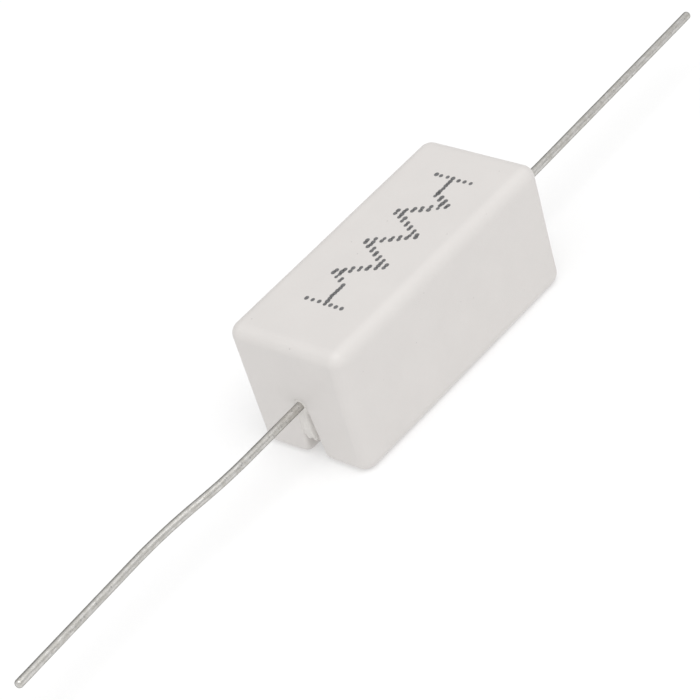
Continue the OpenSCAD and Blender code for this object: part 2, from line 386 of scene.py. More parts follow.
# Mesh code that the pieces share

def clamp(value, low=0.0, high=1.0):
    """The value, kept between low and high."""
    return min(high, max(low, value))


def ramp(value, start, end):
    """How far value is on the way from start to end, from 0 to 1."""
    return clamp((value - start) / (end - start))


def spaced(start, end, step):
    """Even places from start to end, no further apart than step."""
    count = max(1, math.ceil((end - start) / step))
    return [start + (end - start) * i / count for i in range(count + 1)]


def in_order(places):
    """The places in order, each of them once."""
    return sorted({round(place, 9) for place in places})


def both_ways(places):
    """The places and their mirror images, in order."""
    return in_order([side * place for place in places for side in (-1, 1)])


def lumps(point, size):
    """Broad lumps of that size with finer and lower ones on them, from about -1 to 1."""
    fine = noise.noise(point / (FINE_SIZE * size))
    return noise.noise(point / size) + FINE_LUMP_HEIGHT * fine


def disc_from_square(a, b):
    """Moves a point straight in, so that a square about the origin becomes a disc."""
    reach = max(abs(a), abs(b))
    if reach == 0:
        return a, b
    shrink = reach / math.hypot(a, b)
    return a * shrink, b * shrink


def skin_of_lattice(stations, is_filled, place):
    """The outer quads of a box lattice's filled cells. place moves a lattice point."""
    counts = [len(line) - 1 for line in stations]
    middles = [[(a + b) / 2 for a, b in zip(line, line[1:])] for line in stations]
    filled = {
        (i, j, k)
        for i, x in enumerate(middles[0])
        for j, y in enumerate(middles[1])
        for k, z in enumerate(middles[2])
        if is_filled(x, y, z)
    }
    points, numbers, faces = [], {}, []

    def number(corner):
        if corner not in numbers:
            numbers[corner] = len(points)
            points.append(place(*[stations[a][corner[a]] for a in range(3)]))
        return numbers[corner]

    for cell in sorted(filled):
        for axis in range(3):
            u, v = (axis + 1) % 3, (axis + 2) % 3
            for side in (0, 1):
                beyond = list(cell)
                beyond[axis] += 2 * side - 1
                if 0 <= beyond[axis] < counts[axis] and tuple(beyond) in filled:
                    continue
                quad = []
                for du, dv in ((0, 0), (1, 0), (1, 1), (0, 1)):
                    corner = list(cell)
                    corner[axis] += side
                    corner[u] += du
                    corner[v] += dv
                    quad.append(number(tuple(corner)))
                faces.append(quad if side else quad[::-1])
    return points, faces


def make_piece(name, points, faces, material):
    """A smooth-shaded mesh that rides on the body and takes its finish from a slot."""
    mesh = bpy.data.meshes.new(name)
    mesh.from_pydata(points, [], faces)
    mesh.shade_smooth()
    mesh.materials.append(material)
    piece = bpy.data.objects.new(name, mesh)
    bpy.context.scene.collection.objects.link(piece)
    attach(piece, BODY)
    return piece


def subdivide(piece, levels):
    """Smooths a piece by that many levels of subdivision."""
    modifier = piece.modifiers.new("Smooth surface", "SUBSURF")
    modifier.levels = levels
    modifier.render_levels = levels


# The form of the case, which the cement is cast in

class CaseForm:
    """Takes the points of a plain box lattice to their places on the pressed case."""

    def __init__(self, case, slot):
        self.case = case
        self.slot = slot
        self.half_l, self.half_w = case.size[0] / 2, case.size[1] / 2
        self.height = case.size[2]
        self.trough_l = self.half_l - case.end_wall
        self.trough_w = self.half_w - case.side_wall
        self.trough_top = self.height - case.top_wall
        self.slot_r = slot.width / 2
        self.slot_top = slot.lead_height + self.slot_r
        self.round_top = [self.slot_r * math.tan(a) for a in SLOT_ANGLES]
        self.trough_corner = [case.trough_radius * share for share in CORNER_SHARES]

    def stations(self):
        """The lattice planes along X, Y and Z."""
        case, slot = self.case, self.slot
        soft = case.softness
        edge = [case.rim_corner_radius * (1 - math.tan(a)) for a in EDGE_ANGLES]
        flare = [slot.flare_radius * (1 - math.sin(a)) for a in FLARE_ANGLES]
        along = spaced(0, self.trough_l - case.trough_radius, case.step)
        along += [self.trough_l - c for c in self.trough_corner]
        along += [self.trough_l + soft, self.half_l - soft]
        along += [self.half_l - depth for depth in edge]
        across = self.round_top + [self.slot_r + soft]
        across += spaced(self.slot_r + 3 * soft, self.trough_w - case.trough_radius, case.step)
        across += [self.trough_w - c for c in self.trough_corner] + [self.trough_w + soft]
        across += [self.half_w - depth for depth in edge]
        up = [0] + flare + edge + spaced(max(edge), slot.lead_height, case.step)
        up += [slot.lead_height + c for c in self.round_top] + [self.slot_top + soft]
        up += spaced(self.slot_top + 3 * soft, self.trough_top, case.step)
        up += [self.height - depth for depth in edge]
        return both_ways(along), both_ways(across), in_order(up)

    def is_ceramic(self, x, y, z):
        in_length = abs(x) < self.trough_l
        in_trough = in_length and abs(y) < self.trough_w and z < self.trough_top
        in_slot = not in_length and abs(y) < self.slot_r and z < self.slot_top
        return not in_trough and not in_slot

    def slot_half(self, z):
        """Half the slot's width at height z, with its flare."""
        slot = self.slot
        taper = (slot.mouth_width - slot.width) / 2 * (1 - z / slot.lead_height)
        below = max(0, slot.flare_radius - z)
        flare = slot.flare_radius - math.sqrt(slot.flare_radius ** 2 - below ** 2)
        return self.slot_r + max(0, taper) + flare

    def slot_middle(self, x):
        """How far sideways the slot's middle lies: the near one is a little off."""
        return -self.slot.near_shift if x < 0 else 0

    def round_slot_edge(self, x, y, z):
        """Rounds the slot's upright edges towards the rim, fully in the quarter next to it."""
        radius, lead_height = self.case.slot_edge_radius, self.slot.lead_height
        depth, beside = self.half_l - abs(x), abs(y) - self.slot_r
        if z > lead_height or depth >= radius or not -self.case.softness < beside < radius:
            return x, y, z
        a, b = disc_from_square(radius - depth, radius - beside)
        fade = ramp(z, lead_height, lead_height / 4)
        new_x = abs(x) + (self.half_l - radius + a - abs(x)) * fade
        new_y = abs(y) + (self.slot_r + radius - b - abs(y)) * fade
        return math.copysign(new_x, x), math.copysign(new_y, y), z

    def open_slot(self, x, y, z):
        """Gives the square slot its taper, its flares and its round top."""
        reach = ramp(abs(x), self.trough_l - SLOT_BLEND, self.trough_l)
        fade = ramp(abs(y), self.half_w - self.case.rim_corner_radius, self.slot_r)
        fade_up = ramp(z, self.trough_top, self.slot_top)
        shift = self.slot_middle(x) * reach * fade * fade_up
        rise = z - self.slot.lead_height
        if rise <= 0:
            wider = (self.slot_half(z) - self.slot_r) * reach
            if abs(y) <= self.slot_r:
                return x, y * (1 + wider / self.slot_r) + shift, z
            return x, y + math.copysign(wider * fade, y) + shift, z
        size = max(abs(y), rise)
        blend = clamp(2 - size / self.slot_r) * reach
        round_y, round_z = disc_from_square(y, rise)
        new_y = y + (round_y - y) * blend
        new_z = z + (round_z - rise) * blend
        return x, new_y + shift, new_z

    def round_edge(self, depth, z):
        """Rounds the edges of the top and of the rim, in the plane of depth and height."""
        for radius, level, at_top in (
            (self.case.top_edge_radius, self.height - z, True),
            (self.case.rim_edge_radius, z, False),
        ):
            if depth < radius and level < radius:
                a, b = disc_from_square(radius - depth, radius - level)
                new_level = radius - b
                return radius - a, self.height - new_level if at_top else new_level
        return depth, z

    def round_outside(self, x, y, z):
        """Rounds the top, the rim and the four upright edges."""
        in_x = self.half_l - abs(x)
        in_y = self.half_w - abs(y)
        depth, new_z = self.round_edge(min(in_x, in_y), z)
        case = self.case
        wider = case.rim_corner_radius - case.corner_radius
        corner = case.corner_radius + wider * (1 - z / self.height)
        new_x, new_y = abs(x), abs(y)
        if in_x < corner and in_y < corner:
            along, across = corner - in_x, corner - in_y
            size = (corner - depth) / math.hypot(along, across)
            new_x = self.half_l - corner + along * size
            new_y = self.half_w - corner + across * size
        elif in_x < in_y:
            new_x = self.half_l - depth
        else:
            new_y = self.half_w - depth
        return math.copysign(new_x, x), math.copysign(new_y, y), new_z

    def round_trough(self, x, y, z):
        """Rounds the trough's upright corners."""
        radius = self.case.trough_radius
        a = abs(x) - (self.trough_l - radius)
        b = abs(y) - (self.trough_w - radius)
        outside = abs(x) > self.trough_l or abs(y) > self.trough_w or z > self.trough_top
        if outside or a <= 0 or b <= 0:
            return x, y, z
        new_a, new_b = disc_from_square(a, b)
        return math.copysign(abs(x) - a + new_a, x), math.copysign(abs(y) - b + new_b, y), z

    def slope(self, x, y, z):
        """Leans the outer walls in and the trough's walls out, towards the rim."""
        outer = max(0, self.height - self.case.top_edge_radius - z)
        inner = max(0, self.trough_top - z) * math.tan(self.case.trough_draft)
        new = []
        for place, still, wall, face, draft in (
            (x, 0, self.trough_l, self.half_l, self.case.end_draft),
            (y, self.slot_r, self.trough_w, self.half_w, self.case.side_draft),
        ):
            through = ramp(abs(place), wall, face)
            inside = ramp(abs(place), still, wall)
            lean = (1 - through) * inside * inner - through * outer * math.tan(draft)
            new.append(place + (lean if place > 0 else -lean))
        return new[0], new[1], z

    def place(self, x, y, z):
        """The place of a lattice point on the case, with the faces slightly uneven."""
        cut = self.open_slot(*self.round_slot_edge(x, y, z))
        point = Vector(self.slope(*self.round_trough(*self.round_outside(*cut))))
        case = self.case
        wave = noise.noise_vector(point / case.wave_size)
        wave += FINE_WAVE_HEIGHT * noise.noise_vector(point / (FINE_SIZE * case.wave_size))
        wave.z *= ramp(z, 0, case.rim_edge_radius)
        return point + wave * case.unevenness


# Shader node code that the materials share

def add_node(tree, kind, title, sockets=None, **settings):
    """Adds a titled node. sockets gives some inputs a value or the output that feeds them."""
    made = tree.nodes.new(kind)
    made.label = title
    for name, value in settings.items():
        setattr(made, name, value)
    for name, value in (sockets or {}).items():
        if isinstance(value, bpy.types.NodeSocket):
            tree.links.new(value, made.inputs[name])
        else:
            made.inputs[name].default_value = value
    return made


def mix_colours(tree, title, mask, first, second):
    """A colour that goes from first to second with the mask."""
    mixed = add_node(
        tree, "ShaderNodeMix", title, {0: mask, 6: first, 7: second}, data_type="RGBA")
    return mixed.outputs[2]


def remap(tree, title, value, low=0.0, high=1.0, new_low=0.0, new_high=1.0):
    """Stretches low to high onto new_low to new_high, and clamps what lies outside."""
    return add_node(tree, "ShaderNodeMapRange", title, {
        "Value": value, "From Min": low, "From Max": high,
        "To Min": new_low, "To Max": new_high}).outputs["Result"]


def calculate(tree, title, operation, first, second):
    """The result of a Math node on two values."""
    return add_node(
        tree, "ShaderNodeMath", title, {0: first, 1: second}, operation=operation).outputs[0]


def shade(colour, factor=1.0):
    """A colour setting as a socket's four values, lighter or darker by a factor."""
    return (*[clamp(part * factor) for part in colour], 1.0)


def new_group(name, inputs, outputs):
    """An empty shader node group. inputs gives each socket's kind and default value."""
    tree = bpy.data.node_groups.new(name, "ShaderNodeTree")
    for title, (kind, default) in inputs.items():
        socket = tree.interface.new_socket(title, in_out="INPUT", socket_type=kind)
        if default is not None:
            socket.default_value = default
    for title in outputs:
        tree.interface.new_socket(title, in_out="OUTPUT", socket_type="NodeSocketFloat")
    entry = tree.nodes.new("NodeGroupInput")
    result = tree.nodes.new("NodeGroupOutput")
    return tree, entry.outputs, result.inputs


def per_metre(tree, title, size):
    """The noise scale that gives features of that size."""
    return calculate(tree, title, "DIVIDE", 1.0, size)


def clouding_group():
    """Broad and fine variation of tone, as fired clay, cement and tin have it."""
    tree, given, result = new_group(
        "Clouding",
        {
            "Vector": ("NodeSocketVector", None),
            "Patch Size": ("NodeSocketFloat", 3 * MM),
            "Detail": ("NodeSocketFloat", 4.0),
            "Contrast": ("NodeSocketFloat", 1.0),
        },
        ["Clouds", "Fine Clouds"],
    )
    scale = per_metre(tree, "Patches in a metre", given["Patch Size"])
    broad = add_node(tree, "ShaderNodeTexNoise", "Broad patches", {
        "Vector": given["Vector"], "Scale": scale, "Detail": given["Detail"], "Roughness": 0.55})
    fine_scale = calculate(tree, "Six times finer", "MULTIPLY", scale, 6.0)
    fine = add_node(tree, "ShaderNodeTexNoise", "Fine patches", {
        "Vector": given["Vector"], "Scale": fine_scale, "Detail": 2.0, "Roughness": 0.6})
    half = calculate(tree, "Half the spread", "DIVIDE", 0.25, given["Contrast"])
    low = calculate(tree, "Lowest tone", "SUBTRACT", 0.5, half)
    high = calculate(tree, "Highest tone", "ADD", 0.5, half)
    tree.links.new(remap(tree, "Cloud tone", broad.outputs["Fac"], low, high), result["Clouds"])
    tree.links.new(remap(tree, "Fine tone", fine.outputs["Fac"], low, high), result["Fine Clouds"])
    return tree


def grit_group():
    """Grains that stand out of a surface, and a few of them as specks of another tone."""
    tree, given, result = new_group(
        "Grit",
        {
            "Vector": ("NodeSocketVector", None),
            "Grain Size": ("NodeSocketFloat", 0.15 * MM),
            "Speck Share": ("NodeSocketFloat", 0.05),
            "Speck Size": ("NodeSocketFloat", 0.4),
        },
        ["Height", "Specks"],
    )
    scale = per_metre(tree, "Grains in a metre", given["Grain Size"])
    grains = add_node(tree, "ShaderNodeTexVoronoi", "Grains", {
        "Vector": given["Vector"], "Scale": scale, "Randomness": 1.0})
    dust = add_node(tree, "ShaderNodeTexNoise", "Dust between grains", {
        "Vector": given["Vector"], "Scale": scale, "Detail": 4.0, "Roughness": 0.7})
    dome = remap(
        tree, "Dome of each grain", grains.outputs["Distance"], high=0.7, new_low=1.0, new_high=0.0)
    height = calculate(tree, "Grains and dust", "ADD", dome, dust.outputs["Fac"])
    tree.links.new(calculate(tree, "Half height", "MULTIPLY", height, 0.5), result["Height"])
    pick = add_node(tree, "ShaderNodeSeparateColor", "Number of each grain", {
        0: grains.outputs["Color"]})
    chosen = calculate(tree, "Chosen grains", "LESS_THAN", pick.outputs[0], given["Speck Share"])
    inner = calculate(tree, "Soft edge starts", "MULTIPLY", given["Speck Size"], 0.6)
    round_speck = remap(
        tree, "Round specks", grains.outputs["Distance"], inner, given["Speck Size"],
        new_low=1.0, new_high=0.0)
    tree.links.new(calculate(tree, "Specks", "MULTIPLY", chosen, round_speck), result["Specks"])
    return tree


def drawn_metal_group():
    """Lines along X that drawing and dipping leave on wire and cups."""
    tree, given, result = new_group(
        "Drawn metal",
        {
            "Vector": ("NodeSocketVector", None),
            "Line Width": ("NodeSocketFloat", 0.05 * MM),
            "Line Length": ("NodeSocketFloat", 1.5 * MM),
        },
        ["Lines", "Height"],
    )
    parts = add_node(tree, "ShaderNodeSeparateXYZ", "Length and section", {0: given["Vector"]})
    along = calculate(tree, "Along, in line lengths", "DIVIDE", parts.outputs[0], given["Line Length"])
    across = calculate(tree, "Across, in line widths", "DIVIDE", parts.outputs[1], given["Line Width"])
    up = calculate(tree, "Up, in line widths", "DIVIDE", parts.outputs[2], given["Line Width"])
    stretched = add_node(
        tree, "ShaderNodeCombineXYZ", "Stretched space", {0: along, 1: across, 2: up})
    lines = add_node(tree, "ShaderNodeTexNoise", "Lines", {
        "Vector": stretched.outputs[0], "Scale": 1.0, "Detail": 3.0, "Roughness": 0.65})
    tone = remap(tree, "Line tone", lines.outputs["Fac"], low=0.3, high=0.7)
    tree.links.new(tone, result["Lines"])
    tree.links.new(lines.outputs["Fac"], result["Height"])
    return tree


def effect(name):
    """The node group of that name, built the first time it is asked for."""
    makers = {
        "Clouding": clouding_group,
        "Grit": grit_group,
        "Drawn metal": drawn_metal_group,
    }
    return bpy.data.node_groups.get(name) or makers[name]()


def new_material(name, **constants):
    """A material with object coordinates and a Principled shader with constant values."""
    material = bpy.data.materials.new(name)
    material.use_nodes = True
    tree = material.node_tree
    shader = tree.nodes["Principled BSDF"]
    for socket, value in constants.items():
        shader.inputs[socket.replace("_", " ")].default_value = value
    where = tree.nodes.new("ShaderNodeTexCoord").outputs["Object"]
    return material, tree, shader, where


def add_effect(tree, name, where, **values):
    """Places an effect in a material with its own values."""
    made = tree.nodes.new("ShaderNodeGroup")
    made.node_tree = effect(name)
    made.label = name
    tree.links.new(where, made.inputs["Vector"])
    for socket, value in values.items():
        made.inputs[socket.replace("_", " ")].default_value = value
    return made.outputs


def add_bump(tree, shader, height, distance):
    """Fine relief on a shader's surface, as deep as distance."""
    bump = add_node(tree, "ShaderNodeBump", "Fine relief", {
        "Height": height, "Distance": distance, "Strength": 1.0})
    tree.links.new(bump.outputs["Normal"], shader.inputs["Normal"])


# Materials

def ceramic_material(name, colour, speck_share):
    """Fired white ceramic: dense and satin, slightly clouded, with a few faint specks."""
    material, tree, shader, where = new_material(
        name, Specular_IOR_Level=0.45, IOR=1.52)
    clouds = add_effect(tree, "Clouding", where, Patch_Size=2.6 * MM, Contrast=0.8)
    grit = add_effect(
        tree, "Grit", where, Grain_Size=0.3 * MM, Speck_Share=speck_share, Speck_Size=0.22)
    skin = add_effect(tree, "Grit", where, Grain_Size=0.07 * MM)
    tone = mix_colours(
        tree, "Clouded ceramic", clouds["Clouds"],
        shade(colour, 0.975), shade(colour, 1.015))
    specked = mix_colours(
        tree, "Faint specks", grit["Specks"], tone, shade(colour, 0.8))
    tree.links.new(specked, shader.inputs["Base Color"])
    rough = remap(
        tree, "Satin to matte", clouds["Fine Clouds"], new_low=0.38, new_high=0.52)
    tree.links.new(rough, shader.inputs["Roughness"])
    add_bump(tree, shader, skin["Height"], distance=0.008 * MM)
    return material


def cement_material(colour):
    """Set cement: matte and sandy, nearly as pale as the ceramic, with a few darker grains."""
    material, tree, shader, where = new_material(
        "Set cement", Specular_IOR_Level=0.3, IOR=1.5)
    clouds = add_effect(tree, "Clouding", where, Patch_Size=1.2 * MM, Contrast=1.2)
    grit = add_effect(
        tree, "Grit", where, Grain_Size=0.12 * MM, Speck_Share=0.05, Speck_Size=0.4)
    tone = mix_colours(
        tree, "Patchy cement", clouds["Clouds"], shade(colour, 0.92), shade(colour, 1.04))
    grains = mix_colours(tree, "Dark grains", grit["Specks"], tone, shade(colour, 0.75))
    tree.links.new(grains, shader.inputs["Base Color"])
    rough = remap(tree, "Dull", clouds["Fine Clouds"], new_low=0.8, new_high=0.95)
    tree.links.new(rough, shader.inputs["Roughness"])
    add_bump(tree, shader, grit["Height"], distance=0.04 * MM)
    return material


def metal_material(name, colour, roughness, line_width, dullness, edge_tint):
    """Drawn metal: fine lines along the case, patches of dull oxide, darker edges.

    roughness holds the lowest and the highest, and dullness is the most oxide there is.
    """
    material, tree, shader, where = new_material(
        name, Specular_Tint=shade((edge_tint,) * 3))
    clouds = add_effect(tree, "Clouding", where, Patch_Size=0.35 * MM, Contrast=2.4)
    drawn = add_effect(tree, "Drawn metal", where, Line_Width=line_width, Line_Length=0.9 * MM)
    bright = mix_colours(
        tree, "Lined metal", drawn["Lines"], shade(colour, 0.78), shade(colour, 1.2))
    patched = calculate(tree, "Oxide cover", "MULTIPLY", clouds["Clouds"], dullness)
    dull = shade([part * tint for part, tint in zip(colour, OXIDE_TINT)])
    oxidised = mix_colours(tree, "Dull oxide", patched, bright, dull)
    # The duller the metal, the more tarnished specks it has
    grit = add_effect(
        tree, "Grit", where, Grain_Size=0.17 * MM, Speck_Share=dullness / 6, Speck_Size=0.5)
    tone = mix_colours(
        tree, "Tarnished specks", grit["Specks"], oxidised, shade(colour, 0.68))
    tree.links.new(tone, shader.inputs["Base Color"])
    metallic = remap(tree, "Mostly metal", patched, new_low=1.0, new_high=0.8)
    tree.links.new(metallic, shader.inputs["Metallic"])
    lowest, highest = roughness
    rough = remap(
        tree, "Satin to dull", clouds["Fine Clouds"], new_low=lowest, new_high=highest)
    tree.links.new(rough, shader.inputs["Roughness"])
    add_bump(tree, shader, drawn["Height"], distance=0.008 * MM)
    return material


def ink_material(colour):
    """Dried ink: matte, thinner and broken towards the edge of each dot."""
    material, tree, shader, where = new_material(
        "Dried ink", Specular_IOR_Level=0.3, IOR=1.5)
    clouds = add_effect(tree, "Clouding", where, Patch_Size=0.12 * MM, Contrast=1.2)
    tone = mix_colours(
        tree, "Thick and thin ink", clouds["Clouds"], shade(colour), shade(colour, 1.9))
    tree.links.new(tone, shader.inputs["Base Color"])
    rough = remap(tree, "Dry ink", clouds["Fine Clouds"], new_low=0.55, new_high=0.75)
    tree.links.new(rough, shader.inputs["Roughness"])
    edge = add_node(tree, "ShaderNodeAttribute", "Way out from the dot's middle")
    edge.attribute_name = "way_out"
    frayed = calculate(tree, "Fraying", "MULTIPLY", clouds["Fine Clouds"], 0.22)
    way = calculate(tree, "Frayed way out", "ADD", edge.outputs["Fac"], frayed)
    cover = remap(tree, "Ink cover", way, low=0.74, high=1.04, new_low=0.94, new_high=0.0)
    tree.links.new(cover, shader.inputs["Alpha"])
    return material


# Pieces

def element_yaw(case, slot):
    """How far the wound rod is turned, because the near slot is off the middle."""
    return math.atan(slot.near_shift / case.size[0])


def element_point(case, slot, x):
    """A point on the rod's axis, which runs from slot to slot."""
    side = -slot.near_shift * (0.5 - x / case.size[0])
    return Vector((x, side, slot.lead_height))


def walk_wire(start, heading, steps, ring_step):
    """Points and headings along a level wire, ring_step apart at most.

    Each step is a length and its turn.
    """
    points, headings = [start.copy()], [heading]
    for length, turn in steps:
        count = max(1, math.ceil(length / ring_step))
        for _ in range(count):
            middle = heading + turn / count / 2
            step = Vector((math.cos(middle), math.sin(middle), 0)) * (length / count)
            points.append(points[-1] + step)
            heading += turn / count
            headings.append(heading)
    return points, headings


def lead_steps(leads, lengths, bends, reach, case):
    """Lengths and turns from the end cap to the tip of a lead, with its bends rounded."""
    steps = [(case.size[0] / 2 - CAP_HIGH.x, 0)]
    used = last_rounding = 0
    for length, turn in zip(lengths, bends):
        rounding = leads.bend_radius * math.tan(abs(turn) / 2)
        straight, arc = length - last_rounding - rounding, leads.bend_radius * abs(turn)
        steps += [(straight, 0), (arc, turn)]
        used += straight + arc
        last_rounding = rounding
    return steps + [(reach - used, 0)]


def wire_mesh(points, headings, leads):
    """A tube along the points, with the weld at its root and a rounded tip."""
    sides, radius = leads.sides, leads.diameter / 2
    lengths = [0]
    for a, b in zip(points, points[1:]):
        lengths.append(lengths[-1] + (b - a).length)
    tip_start = lengths[-1] - leads.tip_radius
    rings = [
        (p, h, radius + (leads.weld_diameter / 2 - radius) * clamp(1 - s / leads.weld_length))
        for p, h, s in zip(points, headings, lengths) if s < tip_start
    ]
    end, heading = points[-1], headings[-1]
    forward = Vector((math.cos(heading), math.sin(heading), 0))
    for angle in TIP_ANGLES:
        back = leads.tip_radius * (1 - math.sin(angle))
        size = radius - leads.tip_radius * (1 - math.cos(angle))
        rings.append((end - forward * back, heading, size))
    vertices, faces = [], []
    for middle, heading, size in rings:
        across = Vector((-math.sin(heading), math.cos(heading), 0))
        for i in range(sides):
            turn = i * math.tau / sides
            out = across * math.cos(turn) + Vector((0, 0, math.sin(turn)))
            spot = middle + out * size
            wave = Vector((spot.x / leads.wave_stretch, spot.y, spot.z)) / leads.wave_size
            bump = noise.noise(wave)
            vertices.append(spot + out * bump * leads.unevenness)
    for ring in range(len(rings) - 1):
        for i in range(sides):
            j = (i + 1) % sides
            a, b = ring * sides, (ring + 1) * sides
            faces.append((a + i, a + j, b + j, b + i))
    faces.append(tuple(range(sides))[::-1])
    last = (len(rings) - 1) * sides
    faces.append(tuple(range(last, last + sides)))
    return vertices, faces


def cement_mesh(form, cement):
    """The cement in the trough and in both slots, rough where it set in the open."""
    slot, lowest = form.slot, cement.recess
    tongue_x = form.half_l + cement.slot_bulge
    # From here on the cement is drawn out into the end walls
    draw_start = 0.9 * form.trough_l
    # The groove and the lumps grow from these shares at the lead to one more at the foot
    groove_at_lead, lumps_at_lead = 0.6, 0.2
    # Mesh lines, close together where the cement shows and wider apart inside
    columns = spaced(0, form.slot_r, cement.tongue_step)
    along = spaced(0, form.trough_l, cement.step) + spaced(form.trough_l, tongue_x, cement.step)
    across = columns + spaced(form.slot_r, form.trough_w, cement.step)
    up = spaced(lowest, lowest + cement.crust, cement.tongue_step * 2)
    up += spaced(up[-1], slot.lead_height, cement.step * 2)
    up += [slot.lead_height + c for c in columns]
    up += spaced(form.slot_top, form.trough_top, cement.step * 3)

    def is_cement(x, y, z):
        in_trough = abs(x) < form.trough_l and abs(y) < form.trough_w
        return in_trough or (abs(y) < form.slot_r and z < form.slot_top)

    def into_wall(x, y, z, point):
        """How far a point is moved into the ceramic, and its share of the whole overlap."""
        if abs(x) <= form.trough_l:
            share = ramp(abs(x), draw_start, form.trough_l)
            move = Vector((math.copysign(share, x), y / form.trough_w, 0))
        elif z <= slot.lead_height:
            share = ramp(abs(y), columns[-2], columns[-1])
            move = Vector((0, math.copysign(share, y), 0))
        else:
            out = Vector((0, point.y - form.slot_middle(x), z - slot.lead_height))
            share = ramp(out.length, columns[-2], columns[-1])
            move = out.normalized() * share
        return move * cement.overlap, share

    def place(x, y, z):
        point = Vector(form.slope(*form.round_trough(*form.open_slot(x, y, z))))
        beside = (form.slot_middle(x) - point.y) / form.slot_half(z)
        move, hidden = into_wall(x, y, z, point)
        point += move
        lump = lumps(point, cement.lump_size)
        dish = cement.dish * (1 - (point.y / form.trough_w) ** 2)
        point.z += (dish + lump * cement.roughness) * ramp(z, lowest + cement.crust, lowest)
        if abs(x) > form.trough_l:
            out = ramp(abs(x), form.trough_l, tongue_x)
            depth = ramp(z, slot.lead_height, lowest)
            groove = ramp(beside, cement.groove_start, 1) * ramp(depth, 0, cement.groove_whole)
            groove *= groove_at_lead + depth
            foot = ramp(depth, cement.foot_start, 1)
            crumb = 2 * noise.noise(point / cement.crumb_size) * foot
            back = cement.foot_recess * foot + cement.groove_depth * groove
            back += cement.overlap / 2 * hidden
            back += (lump * (lumps_at_lead + depth) + crumb) * cement.roughness
            point.x -= math.copysign(back * out, x)
            point.z += crumb * cement.roughness
        return point

    return skin_of_lattice((both_ways(along), both_ways(across), in_order(up)), is_cement, place)


def symbol_dots():
    """Columns and rows of the dots that draw a plain zigzag on a line between two bars."""
    top, middle, bottom, last = 0, 3, 6, 50
    peaks, stroke = 6, 6
    line = (last - peaks * stroke) // 2
    turns = [(1, middle), (line, middle)]
    for peak in range(peaks):
        turns.append((line + stroke // 2 + peak * stroke, bottom if peak % 2 else top))
    turns += [(last - line, middle), (last - 1, middle)]
    dots = [(column, row) for column in (0, last) for row in range(top, bottom + 1)]
    dots.append(turns[0])
    for (column, row), (next_column, next_row) in zip(turns, turns[1:]):
        count = next_column - column
        # A slanting stroke is two dots wide
        doubles = (0, 1) if row != next_row else (0,)
        dots += [
            (column + i + double, row + (next_row - row) * i / count)
            for i in range(1, count + 1) for double in doubles]
    return dots


def ink_mesh(case, ink):
    """Thin oval dots laid on the case's closed top, with how far out each vertex lies."""
    surface = BVHTree.FromObject(case, bpy.context.evaluated_depsgraph_get())
    drop_height = CASE_HIGH.z + 1 * MM
    dot_pace, row_pace, noise_level = DOT_NOISE
    vertices, faces, way_out = [], [], []

    def drop(x, y):
        hit = surface.ray_cast(Vector((x, y, drop_height)), Vector((0, 0, -1)))[0]
        if hit is None:
            raise RuntimeError("A printed dot misses the top of the case")
        return hit + Vector((0, 0, ink.height))

    for count, (column, row) in enumerate(symbol_dots()):
        stray = noise.noise_vector(Vector((count * dot_pace, row * row_pace, noise_level)))
        x = ink.start[0] + column * ink.column_pitch + stray.x * ink.wander
        y = ink.start[1] - row * ink.row_pitch + stray.y * ink.wander
        size = 1 + ink.size_spread * stray.z
        first = len(vertices)
        vertices.append(drop(x, y))
        way_out.append(0.0)
        for circle in DOT_CIRCLES:
            for i in range(DOT_SPOKES):
                turn = i * math.tau / DOT_SPOKES
                a = ink.dot_size[0] / 2 * math.cos(turn) * circle * size
                b = ink.dot_size[1] / 2 * math.sin(turn) * circle * size
                vertices.append(drop(
                    x + a * math.cos(ink.slant) - b * math.sin(ink.slant),
                    y + a * math.sin(ink.slant) + b * math.cos(ink.slant)))
                way_out.append(circle)
        for i in range(DOT_SPOKES):
            j = (i + 1) % DOT_SPOKES
            faces.append((first, first + 1 + i, first + 1 + j))
            for circle in range(len(DOT_CIRCLES) - 1):
                a = first + 1 + circle * DOT_SPOKES
                b = a + DOT_SPOKES
                faces.append((a + i, b + i, b + j, a + j))
    return vertices, faces, way_out


class RESISTOR_OT_case(Operator):
    """Builds the pressed ceramic case, with its slots and its open trough"""
    bl_idname = "resistor.case"
    bl_label = "Ceramic case"

    def execute(self, context):
        noise.seed_set(NOISE_SEED)
        scene = context.scene
        case = scene.resistor_case
        form = CaseForm(case, scene.resistor_slot)
        points, faces = skin_of_lattice(form.stations(), form.is_ceramic, form.place)
        material = ceramic_material("Fired case ceramic", case.colour, speck_share=0.012)
        piece = make_piece("case_shell", points, faces, material)
        subdivide(piece, 1)
        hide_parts("ceramic_case")
        return {"FINISHED"}


class RESISTOR_OT_cement(Operator):
    """Casts the cement in the trough and in both slots"""
    bl_idname = "resistor.cement"
    bl_label = "Cement"

    def execute(self, context):
        scene = context.scene
        cement = scene.resistor_cement
        form = CaseForm(scene.resistor_case, scene.resistor_slot)
        points, faces = cement_mesh(form, cement)
        piece = make_piece(
            "cement_cast", points, faces, cement_material(cement.colour))
        subdivide(piece, 1)
        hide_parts("cement_fill")
        return {"FINISHED"}


